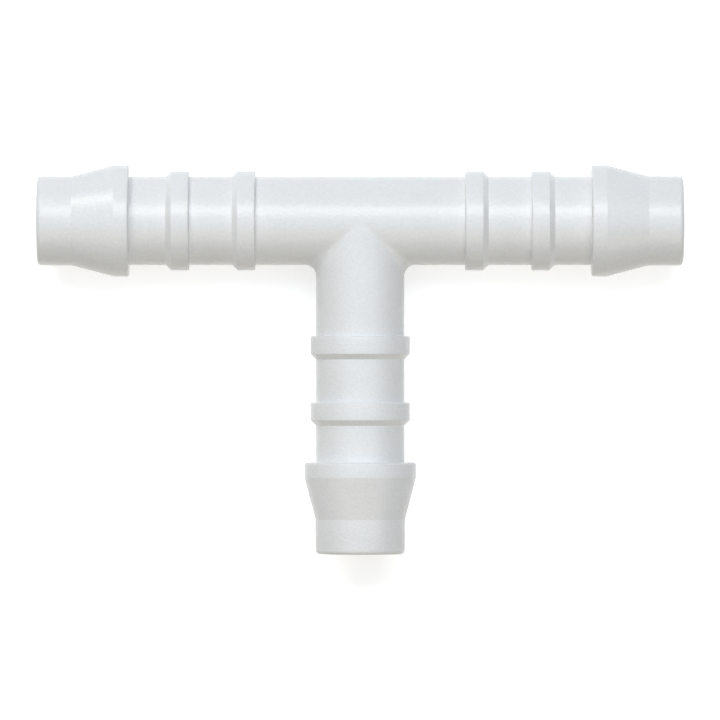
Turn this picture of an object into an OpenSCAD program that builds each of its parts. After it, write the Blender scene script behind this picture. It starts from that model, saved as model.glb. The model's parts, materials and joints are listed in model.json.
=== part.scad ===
// Hose barb tee: one moulded body, a straight run with a branch of the same bore at its middle.
// The run lies along X and the branch along -Y. The origin is where their axes cross.

/* [Bore and wall] */
// Bore of the run and of the branch
bore_d = 6; // [4:0.1:10]
// Wall of the plain tube
tube_wall = 1; // [0.8:0.05:2]
// Wall of the smooth nose at each open end
nose_wall = 1.05; // [0.8:0.05:1.5]

/* [Legs] */
// From the middle of the tee to either end of the run
run_leg_l = 29.25; // [27:0.05:60]
// From the middle of the tee to the end of the branch
branch_leg_l = 30.2; // [27:0.05:60]

/* [Barb] */
// Smooth nose that the hose is started on
nose_l = 3.15; // [1:0.05:4.5]
// Cone that spreads the hose
cone_l = 3.8; // [2:0.05:5]
// Straight crest that the hose is stretched over
crest_l = 1.35; // [0.6:0.05:2.5]
// Height of the crest above the plain tube
crest_h = 1.05; // [0.8:0.05:2]

/* [Rings] */
// Rings behind each barb
ring_count = 2; // [0:1:2]
// Plain tube between the barb and its nearest ring
ring_gap = 3.35; // [1:0.05:5]
// Distance from one ring to the next
ring_pitch = 6; // [3:0.1:8]
// Length of a ring along the tube
ring_l = 2.1; // [1:0.05:2.8]
// Height of a ring above the plain tube
ring_h = 0.5; // [0.3:0.05:1.2]
// Slope that leads the hose onto a ring, measured along the tube
ring_slope_l = 0.5; // [0.2:0.05:0.8]

/* [Edges] */
// Fillet in the two armpits of the tee
armpit_r = 1; // [0.5:0.05:2]
// Rounding of the edge that bites into the hose, on the crest
crest_edge_r = 0.2; // [0.05:0.05:0.4]
// Rounding of the square edge of a ring
ring_edge_r = 0.15; // [0.05:0.05:0.25]
// Rounding round the outside of an open end
mouth_edge_r = 0.3; // [0.1:0.05:0.6]
// Chamfer round the inside of an open end
mouth_chamfer = 0.2; // [0.1:0.05:0.4]

/* [Hidden] */
$fn = 96;
tube_r = bore_d / 2 + tube_wall;
nose_r = bore_d / 2 + nose_wall;
crest_r = tube_r + crest_h;
ring_r = tube_r + ring_h;
// How far a cutting tool runs past the face that it cuts
past = 1;
// Steps along the armpit fillet, steps across it, and how deep its borders are let into the tubes
fillet_rows = 40;
fillet_cols = 10;
fillet_let_in = 0.008;
// The fillet starts and ends this many degrees from the top and the bottom of the tubes, where it has run out
fillet_from = 10;

// Half section of a disc of radius x that stands on y, with its lower edge rounded by a true arc
module rounded_foot(x, y, r, height) {
    translate([x - r, y + r]) circle(r);
    translate([0, y]) square([x - r, height]);
    translate([0, y + r]) square([x, height - r]);
}

// Half section of a ring, square towards the middle of the tee and sloped towards the open end
module ring_section() {
    slope = min(ring_slope_l, ring_l - ring_edge_r);
    rounded_foot(ring_r, 0, min(ring_edge_r, ring_h), ring_l - slope);
    polygon([[0, ring_l - slope], [ring_r, ring_l - slope], [tube_r, ring_l], [0, ring_l]]);
}

// Half section of the barb, with the open end at y = 0 and the crest's biting edge lowest
module barb_section() {
    barb_l = nose_l + cone_l + crest_l;
    rounded_foot(crest_r, -barb_l, crest_edge_r, crest_l);
    polygon([[0, -nose_l - cone_l], [crest_r, -nose_l - cone_l], [nose_r, -nose_l], [0, -nose_l]]);
    mirror([0, 1]) rounded_foot(nose_r, 0, mouth_edge_r, nose_l);
}

// Half section of a whole leg, from the middle of the tee at y = 0 to its open end
module leg_section(length) {
    first_ring = length - nose_l - cone_l - crest_l - ring_gap - ring_l;
    square([tube_r, length - nose_l]);
    translate([0, length]) barb_section();
    for (i = [0 : 1 : ring_count - 1]) translate([0, first_ring - i * ring_pitch]) ring_section();
}

// One leg as a solid of revolution along +Z
module leg(length) rotate_extrude() leg_section(length);

// What the core pin of one leg leaves open: the bore, widened at the mouth
module leg_bore(length) {
    mouth_r = bore_d / 2 + mouth_chamfer;
    cylinder(d = bore_d, h = length + past);
    translate([0, 0, length - mouth_chamfer])
        rotate_extrude() polygon([
            [0, 0], [bore_d / 2, 0], [mouth_r, mouth_chamfer], [mouth_r + past, mouth_chamfer + past],
            [0, mouth_chamfer + past]
        ]);
}

// Turn a leg that stands along +Z so that it points along +X, -X or -Y
module to_right() rotate([0, 90, 0]) children();
module to_left() rotate([0, -90, 0]) children();
module to_branch() rotate([90, 0, 0]) children();

// The armpit fillet is the path of a ball that rolls in the corner and touches both tubes.
// a is the angle of a station, from the top of the tubes round through the armpit to their underside.
function ball(a) = (tube_r + armpit_r) * [sin(a), -sin(a), cos(a)];
function to_run_axis(a) = [0, sin(a), -cos(a)];
function to_branch_axis(a) = [-sin(a), 0, -cos(a)];

// Direction from the ball's middle, turned by the share t from the run's side to the branch's side
function between(a, t) =
    let (whole = acos(to_run_axis(a) * to_branch_axis(a)))
    (sin((1 - t) * whole) * to_run_axis(a) + sin(t * whole) * to_branch_axis(a)) / sin(whole);

// A station: a point in the middle of the wall under the corner, then the arc that the ball leaves
function fillet_station(a) = concat(
    [(bore_d + tube_wall) / 2 * [sin(a), -sin(a), cos(a)]],
    [for (i = [0 : fillet_cols])
        let (border = i == 0 || i == fillet_cols)
        ball(a) + (armpit_r + (border ? fillet_let_in : 0)) * between(a, i / fillet_cols)]
);

// The stations joined into a solid, with every face wound clockwise as seen from outside
module armpit_fillet() {
    turn = (180 - 2 * fillet_from) / fillet_rows;
    per_row = fillet_cols + 2;
    points = [for (r = [0 : fillet_rows]) each fillet_station(fillet_from + r * turn)];
    skin = [for (r = [0 : fillet_rows - 1], i = [0 : per_row - 1])
        let (here = r * per_row, next = here + per_row, j = (i + 1) % per_row)
        each [[here + i, next + j, here + j], [here + i, next + i, next + j]]];
    last = fillet_rows * per_row;
    ends = [for (i = [1 : fillet_cols])
        each [[0, i, i + 1], [last, last + i + 1, last + i]]];
    polyhedron(points, concat(skin, ends), convexity = 4);
}

module tee() color("whitesmoke") difference() {
    union() {
        to_right() leg(run_leg_l);
        to_left() leg(run_leg_l);
        to_branch() leg(branch_leg_l);
        armpit_fillet();
        mirror([1, 0, 0]) armpit_fillet();
    }
    to_right() leg_bore(run_leg_l);
    to_left() leg_bore(run_leg_l);
    to_branch() leg_bore(branch_leg_l);
}

tee();
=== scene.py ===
"""A hose barb tee in white moulded plastic, seen from straight above as it lies on a pale studio floor.

The CAD model fixes the sizes and the place. This script gives the tee a finely rounded skin, its plastic
and its light. Lengths of the moulding are in millimetres until the finished mesh is scaled to metres.
"""

import json
import math

import bmesh
import bpy
from mathutils import Matrix, Vector


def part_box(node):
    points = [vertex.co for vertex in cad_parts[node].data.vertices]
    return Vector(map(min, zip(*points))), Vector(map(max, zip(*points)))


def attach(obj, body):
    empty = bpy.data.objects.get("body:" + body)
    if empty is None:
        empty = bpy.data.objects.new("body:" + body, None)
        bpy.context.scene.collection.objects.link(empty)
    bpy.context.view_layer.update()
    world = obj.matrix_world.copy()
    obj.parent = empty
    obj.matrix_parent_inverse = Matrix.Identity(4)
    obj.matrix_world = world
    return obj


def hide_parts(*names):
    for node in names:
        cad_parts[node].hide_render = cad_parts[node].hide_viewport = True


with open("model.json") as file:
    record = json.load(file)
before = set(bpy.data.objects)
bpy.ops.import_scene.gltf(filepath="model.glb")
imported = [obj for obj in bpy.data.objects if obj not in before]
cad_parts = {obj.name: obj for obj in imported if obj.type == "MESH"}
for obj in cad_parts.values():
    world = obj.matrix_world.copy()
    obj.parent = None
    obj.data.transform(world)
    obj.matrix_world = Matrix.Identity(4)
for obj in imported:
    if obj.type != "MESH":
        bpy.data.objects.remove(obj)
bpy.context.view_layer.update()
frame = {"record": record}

MM = 0.001
NODE = "tee"
BODY = "root"


def mount_size(name, size):
    """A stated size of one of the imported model's mounts, in millimetres."""
    mount = next(m for m in frame["record"]["mounts"] if m["name"] == name)
    return mount["dims"][size]


# Overall sizes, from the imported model
tee_low, tee_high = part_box(NODE)
RUN_LEG_L = tee_high.x / MM
BRANCH_LEG_L = -tee_low.y / MM
CREST_R = tee_high.z / MM
BORE_R = mount_size("run_bore", "r_mm")

# The plain tube and the nose, round the bore
TUBE_WALL = 1.0
NOSE_WALL = 1.05
TUBE_R = BORE_R + TUBE_WALL
NOSE_R = BORE_R + NOSE_WALL

# The barb, from its open end inwards
NOSE_L = 3.15
CONE_L = 3.8
CREST_L = 1.35

# The two rings behind each barb
RING_COUNT = 2
RING_GAP = 3.35
RING_PITCH = 6.0
RING_L = 2.1
RING_H = 0.5
RING_SLOPE_L = 0.5

# Roundings of the edges, and the fillet in the armpits
ARMPIT_R = 1.0
CREST_EDGE_R = 0.2
RING_EDGE_R = 0.15
RING_BROW_R = 0.05
CONE_BROW_R = 0.06
NECK_R = 0.1
STEP_FOOT_R = 0.06
MOUTH_EDGE_R = 0.38
MOUTH_CHAMFER = 0.2

# Fineness of the mesh, as the steps of a full turn, of a rounded edge and across the fillet
TURN_STEPS = 192
EDGE_STEPS = 4
FILLET_STEPS = 10

# Points nearer than this are one, in millimetres, and so are directions nearer than this, in radians
MERGE = 0.001
SAME_WAY = 1e-6

# An edge that turns by more than this stays sharp, in degrees
SHARP_ANGLE = 32


def corner(points, radius):
    """The middle one of three outline points as an arc that touches both of its sides."""
    before, tip, after = (Vector(p) for p in points)
    back = (before - tip).normalized()
    on = (after - tip).normalized()
    half = back.angle(on) / 2
    reach = radius / math.tan(half)
    centre = tip + (back + on).normalized() * radius / math.sin(half)
    start = tip + back * reach - centre
    sweep = start.angle_signed(tip + on * reach - centre)
    turns = (Matrix.Rotation(-sweep * i / EDGE_STEPS, 2) for i in range(EDGE_STEPS + 1))
    return [centre + turn @ start for turn in turns]


def rounded(outline):
    """An outline whose corners carry the radius that stands beside them, with nothing for a sharp one."""
    places = [Vector(point[:2]) for point in outline]
    drawn = []
    for i, point in enumerate(outline):
        radius = point[2] if len(point) > 2 else 0
        if radius:
            drawn += corner(places[i - 1:i + 2], radius)
        else:
            drawn.append(places[i])
    return drawn


def ring_outline(start):
    """A ring that begins at a distance from the tee's middle, square there and sloped on its outer side."""
    top = TUBE_R + RING_H
    return [
        (start, TUBE_R, STEP_FOOT_R),
        (start, top, RING_EDGE_R),
        (start + RING_L - RING_SLOPE_L, top, RING_BROW_R),
        (start + RING_L, TUBE_R, RING_BROW_R),
    ]


def barb_outline(leg_l):
    """The barb with its biting edge, crest, cone and nose, up to the chamfer inside the open end."""
    crest = leg_l - NOSE_L - CONE_L - CREST_L
    cone = leg_l - NOSE_L - CONE_L
    return [
        (crest, TUBE_R, STEP_FOOT_R),
        (crest, CREST_R, CREST_EDGE_R),
        (cone, CREST_R, CONE_BROW_R),
        (leg_l - NOSE_L, NOSE_R, NECK_R),
        (leg_l, NOSE_R, MOUTH_EDGE_R),
        (leg_l, BORE_R + MOUTH_CHAMFER),
        (leg_l - MOUTH_CHAMFER, BORE_R),
    ]


def leg_outline(leg_l):
    """The outside of a leg as distances from the middle of the tee and radii."""
    first_ring = leg_l - NOSE_L - CONE_L - CREST_L - RING_GAP - RING_L
    outline = [(0, TUBE_R)]
    for i in reversed(range(RING_COUNT)):
        outline += ring_outline(first_ring - i * RING_PITCH)
    return rounded(outline + barb_outline(leg_l))


def bore_outline(leg_l):
    """The bore of a leg, from its chamfer back to the middle of the tee."""
    return [Vector((leg_l - MOUTH_CHAMFER, BORE_R)), Vector((0, BORE_R))]


def turned(outline, along, axis, angle, keep):
    """An outline that starts above its axis, turned about it and cut by an upright plane through the middle.

    keep is the direction of the side that stays. Returns the mesh and the edges of the cut.
    """
    bm = bmesh.new()
    verts = [bm.verts.new(along * point.x + Vector((0, 0, point.y))) for point in outline]
    edges = [bm.edges.new(pair) for pair in zip(verts, verts[1:])]
    whole = angle >= 2 * math.pi
    bmesh.ops.spin(
        bm, geom=verts + edges, cent=(0, 0, 0), axis=axis, angle=angle,
        steps=round(TURN_STEPS * angle / (2 * math.pi)), use_merge=whole,
    )
    everything = bm.verts[:] + bm.edges[:] + bm.faces[:]
    cut = bmesh.ops.bisect_plane(
        bm, geom=everything, dist=MERGE, plane_co=(0, 0, 0), plane_no=keep, clear_inner=True,
    )
    return bm, [e for e in cut["geom_cut"] if isinstance(e, bmesh.types.BMEdge)]


def ball_skin(turn, share):
    """A point that the ball rolling in the right armpit leaves on the fillet.

    turn is the angle from the top of the tubes round through the armpit. share goes from 0, where the ball
    touches the run, to 1, where it touches the branch.
    """
    middle = (TUBE_R + ARMPIT_R) * Vector((math.sin(turn), -math.sin(turn), math.cos(turn)))
    to_run = Vector((0, math.sin(turn), -math.cos(turn)))
    to_branch = Vector((-math.sin(turn), 0, -math.cos(turn)))
    # At the top and the bottom of the tubes the ball touches both of them at one point
    if to_run.angle(to_branch) < SAME_WAY:
        return middle + ARMPIT_R * to_run
    return middle + ARMPIT_R * to_run.slerp(to_branch, share)


def roll_fillet(bm, rail):
    """The armpit fillet, grown from its rail along the run to where the ball touches the branch."""
    turn = bm.verts.layers.float.new("turn")
    for v in {v for e in rail for v in e.verts}:
        v[turn] = math.atan2(-v.co.y, v.co.z)
    for step in range(1, FILLET_STEPS + 1):
        grown = bmesh.ops.extrude_edge_only(bm, edges=rail)["geom"]
        rail = [e for e in grown if isinstance(e, bmesh.types.BMEdge)]
        for v in (v for v in grown if isinstance(v, bmesh.types.BMVert)):
            v.co = ball_skin(v[turn], step / FILLET_STEPS)
    bm.verts.layers.float.remove(turn)


def add_to(whole, part):
    """Moves a part's geometry into the mesh of the whole."""
    mesh = bpy.data.meshes.new("part")
    part.to_mesh(mesh)
    part.free()
    whole.from_mesh(mesh)
    bpy.data.meshes.remove(mesh)


def put_in_order(bm):
    """Sorts the mesh by place, because it is otherwise made in another order in each run."""
    def place(vert):
        return tuple(vert.co)

    def points(element):
        return sorted(vert.index for vert in element.verts)

    for elements, key in ((bm.verts, place), (bm.edges, points), (bm.faces, points)):
        for i, element in enumerate(sorted(elements, key=key)):
            element.index = i
        elements.sort()


def moulded_tee():
    """The right half of the tee, turned, cut and filleted, and then mirrored to the left."""
    right = Vector((1, 0, 0))
    out = Vector((0, -1, 0))
    full = 2 * math.pi
    half = math.pi

    # Each tube ends at the upright plane where the rolling ball touches it.
    # The bores meet at the plane halfway between.
    reach = TUBE_R + ARMPIT_R
    leg, rail = turned(leg_outline(RUN_LEG_L), right, (1, 0, 0), full, keep=(TUBE_R, reach, 0))
    roll_fillet(leg, rail)
    tee = bmesh.new()
    add_to(tee, leg)
    add_to(tee, turned(bore_outline(RUN_LEG_L), right, (1, 0, 0), full, keep=(1, 1, 0))[0])
    add_to(tee, turned(leg_outline(BRANCH_LEG_L), out, (0, 1, 0), half, keep=(-reach, -TUBE_R, 0))[0])
    add_to(tee, turned(bore_outline(BRANCH_LEG_L), out, (0, 1, 0), half, keep=(-1, -1, 0))[0])
    bmesh.ops.remove_doubles(tee, verts=tee.verts, dist=MERGE)
    everything = tee.verts[:] + tee.edges[:] + tee.faces[:]
    bmesh.ops.mirror(tee, geom=everything, matrix=Matrix.Identity(4), axis="X", merge_dist=MERGE)
    bmesh.ops.remove_doubles(tee, verts=tee.verts, dist=MERGE)
    bmesh.ops.recalc_face_normals(tee, faces=tee.faces)
    bmesh.ops.scale(tee, vec=(MM, MM, MM), verts=tee.verts)
    put_in_order(tee)
    return tee


def white_plastic():
    """Satin white plastic: a fine grain in its colour, gloss and surface, and a slight drift of colour."""
    material = bpy.data.materials.new("white_plastic")
    material.use_nodes = True
    nodes, links = material.node_tree.nodes, material.node_tree.links
    shader = nodes["Principled BSDF"]
    shader.inputs["IOR"].default_value = 1.5
    place = nodes.new("ShaderNodeTexCoord").outputs["Object"]

    def noise(scale):
        """A noise whose scale is the number of its cells in a metre."""
        node = nodes.new("ShaderNodeTexNoise")
        node.inputs["Scale"].default_value = scale
        node.inputs["Detail"].default_value = 2
        links.new(place, node.inputs["Vector"])
        return node.outputs["Fac"]

    def spread(value, low, high):
        """A noise's middle range, 0.3 to 0.7, spread from low to high."""
        node = nodes.new("ShaderNodeMapRange")
        node.inputs["From Min"].default_value = 0.3
        node.inputs["From Max"].default_value = 0.7
        node.inputs["To Min"].default_value = low
        node.inputs["To Max"].default_value = high
        links.new(value, node.inputs["Value"])
        return node.outputs["Result"]

    grain = noise(scale=4200)
    drift = noise(scale=220)

    darker = (0.79, 0.795, 0.80, 1)
    lighter = (0.85, 0.855, 0.86, 1)
    cloud = nodes.new("ShaderNodeMath")
    cloud.operation = "ADD"
    links.new(spread(drift, 0, 0.3), cloud.inputs[0])
    links.new(spread(grain, 0, 0.7), cloud.inputs[1])
    tint = nodes.new("ShaderNodeMix")
    tint.data_type = "RGBA"
    tint.inputs["A"].default_value = darker
    tint.inputs["B"].default_value = lighter
    links.new(cloud.outputs[0], tint.inputs["Factor"])
    links.new(tint.outputs["Result"], shader.inputs["Base Color"])

    # A roughness that passes 0.27 here and there comes out as specks along the rims
    links.new(spread(grain, 0.20, 0.26), shader.inputs["Roughness"])

    grain_depth = 0.03 * MM
    bump = nodes.new("ShaderNodeBump")
    bump.inputs["Strength"].default_value = 1.0
    bump.inputs["Distance"].default_value = grain_depth
    links.new(grain, bump.inputs["Height"])
    links.new(bump.outputs["Normal"], shader.inputs["Normal"])
    return material


def make_tee():
    """The dressed piece, which stands for the CAD node."""
    mesh = bpy.data.meshes.new("moulded_tee")
    moulding = moulded_tee()
    moulding.to_mesh(mesh)
    moulding.free()
    mesh.shade_smooth()
    mesh.set_sharp_from_angle(angle=math.radians(SHARP_ANGLE))
    mesh.materials.append(white_plastic())
    piece = bpy.data.objects.new("moulded_tee", mesh)
    bpy.context.scene.collection.objects.link(piece)
    even = piece.modifiers.new("even_shading", "WEIGHTED_NORMAL")
    even.keep_sharp = True
    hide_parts(NODE)
    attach(piece, BODY)


def seen_or_mirrored(nodes, links):
    """1 for what is seen, directly, in a reflection or through glass, and 0 for light that bounces."""
    path = nodes.new("ShaderNodeLightPath")
    seen = path.outputs["Is Camera Ray"]
    for name in ("Is Glossy Ray", "Is Transmission Ray"):
        larger = nodes.new("ShaderNodeMath")
        larger.operation = "MAXIMUM"
        links.new(seen, larger.inputs[0])
        links.new(path.outputs[name], larger.inputs[1])
        seen = larger.outputs[0]
    return seen


def studio_floor():
    """A pale floor under the tee. It looks white, and keeps a soft shadow."""
    size = 3.0
    paper_white = 0.8
    glow = 0.6
    bm = bmesh.new()
    bmesh.ops.create_grid(bm, x_segments=1, y_segments=1, size=size)
    bmesh.ops.translate(bm, vec=(0, 0, tee_low.z), verts=bm.verts)
    mesh = bpy.data.meshes.new("studio_floor")
    bm.to_mesh(mesh)
    bm.free()
    floor = bpy.data.objects.new("studio_floor", mesh)
    bpy.context.scene.collection.objects.link(floor)

    material = bpy.data.materials.new("white_paper")
    material.use_nodes = True
    nodes, links = material.node_tree.nodes, material.node_tree.links
    nodes.clear()
    paper = nodes.new("ShaderNodeBsdfDiffuse")
    paper.inputs["Color"].default_value = (paper_white, paper_white, paper_white, 1)
    shine = nodes.new("ShaderNodeMath")
    shine.operation = "MULTIPLY"
    shine.inputs[1].default_value = glow
    links.new(seen_or_mirrored(nodes, links), shine.inputs[0])
    white = nodes.new("ShaderNodeEmission")
    links.new(shine.outputs[0], white.inputs["Strength"])
    both = nodes.new("ShaderNodeAddShader")
    links.new(paper.outputs[0], both.inputs[0])
    links.new(white.outputs[0], both.inputs[1])
    out = nodes.new("ShaderNodeOutputMaterial")
    links.new(both.outputs[0], out.inputs["Surface"])
    mesh.materials.append(material)


def studio_air():
    """The pale room around: white to the eye and in reflections, a dim even light for the rest."""
    dim = 0.02
    world = bpy.data.worlds.new("studio_air")
    bpy.context.scene.world = world
    world.use_nodes = True
    nodes, links = world.node_tree.nodes, world.node_tree.links
    nodes.clear()
    fill = nodes.new("ShaderNodeBackground")
    fill.inputs["Color"].default_value = (1, 1, 1, 1)
    fill.inputs["Strength"].default_value = dim
    white = nodes.new("ShaderNodeBackground")
    white.inputs["Color"].default_value = (1, 1, 1, 1)
    white.inputs["Strength"].default_value = 1
    chosen = nodes.new("ShaderNodeMixShader")
    links.new(seen_or_mirrored(nodes, links), chosen.inputs["Fac"])
    links.new(fill.outputs[0], chosen.inputs[1])
    links.new(white.outputs[0], chosen.inputs[2])
    out = nodes.new("ShaderNodeOutputWorld")
    links.new(chosen.outputs[0], out.inputs["Surface"])


def softbox(name, zenith, around, width, length, power, tint, aside=0):
    """A soft lamp that faces the tee from half a metre away.

    zenith is its angle from straight up, and around the angle from +X towards +Y, both in degrees. The length
    lies level and the width slopes. aside then moves the lamp along X without turning it.
    """
    distance = 0.5
    lamp = bpy.data.lights.new(name, "AREA")
    lamp.shape = "RECTANGLE"
    lamp.size = length
    lamp.size_y = width
    lamp.energy = power
    lamp.color = tint
    box = bpy.data.objects.new(name, lamp)
    bpy.context.scene.collection.objects.link(box)
    up, level = math.radians(zenith), math.radians(around)
    direction = Vector((math.sin(up) * math.cos(level), math.sin(up) * math.sin(level), math.cos(up)))
    box.location = (tee_low + tee_high) / 2 + direction * distance + Vector((aside, 0, 0))
    box.rotation_euler = direction.to_track_quat("Z", "Y").to_euler()


def studio_lights():
    """A key and a long cool lamp above, one at the back left for the cones, and warm fills in front."""
    cool = (0.92, 0.95, 1.0)
    cooler = (0.71, 0.85, 1.0)
    cream = (1.0, 0.98, 0.9)
    warm = (1.0, 0.88, 0.65)
    amber = (1.0, 0.76, 0.39)
    studio_air()
    softbox("key", zenith=27, around=90, width=0.2, length=0.5, power=1.41, tint=cool)
    softbox("overhead", zenith=0, around=90, width=0.3, length=1.1, power=1.11, tint=cooler)
    softbox("high_left", zenith=57, around=122, width=0.18, length=0.18, power=0.57, tint=cream)
    softbox("front", zenith=40, around=270, width=0.3, length=0.9, power=0.53, tint=amber, aside=-0.2)
    softbox("front_right", zenith=60, around=309, width=0.25, length=0.25, power=0.24, tint=warm)


def photo_camera():
    """A long lens straight above. It gives the tee the place and the size that it has in the photograph."""
    aimed_at = (-0.02 * MM, -12.61 * MM)
    height = 905 * MM
    lens = bpy.data.cameras.new("photo_camera")
    lens.sensor_width = 36
    lens.lens = 499.4
    lens.clip_start = 0.01
    lens.clip_end = 20
    camera = bpy.data.objects.new("photo_camera", lens)
    bpy.context.scene.collection.objects.link(camera)
    camera.location = (*aimed_at, height)
    bpy.context.scene.camera = camera


photo_camera()
make_tee()
studio_floor()
studio_lights()
bpy.context.scene.view_settings.view_transform = "Standard"
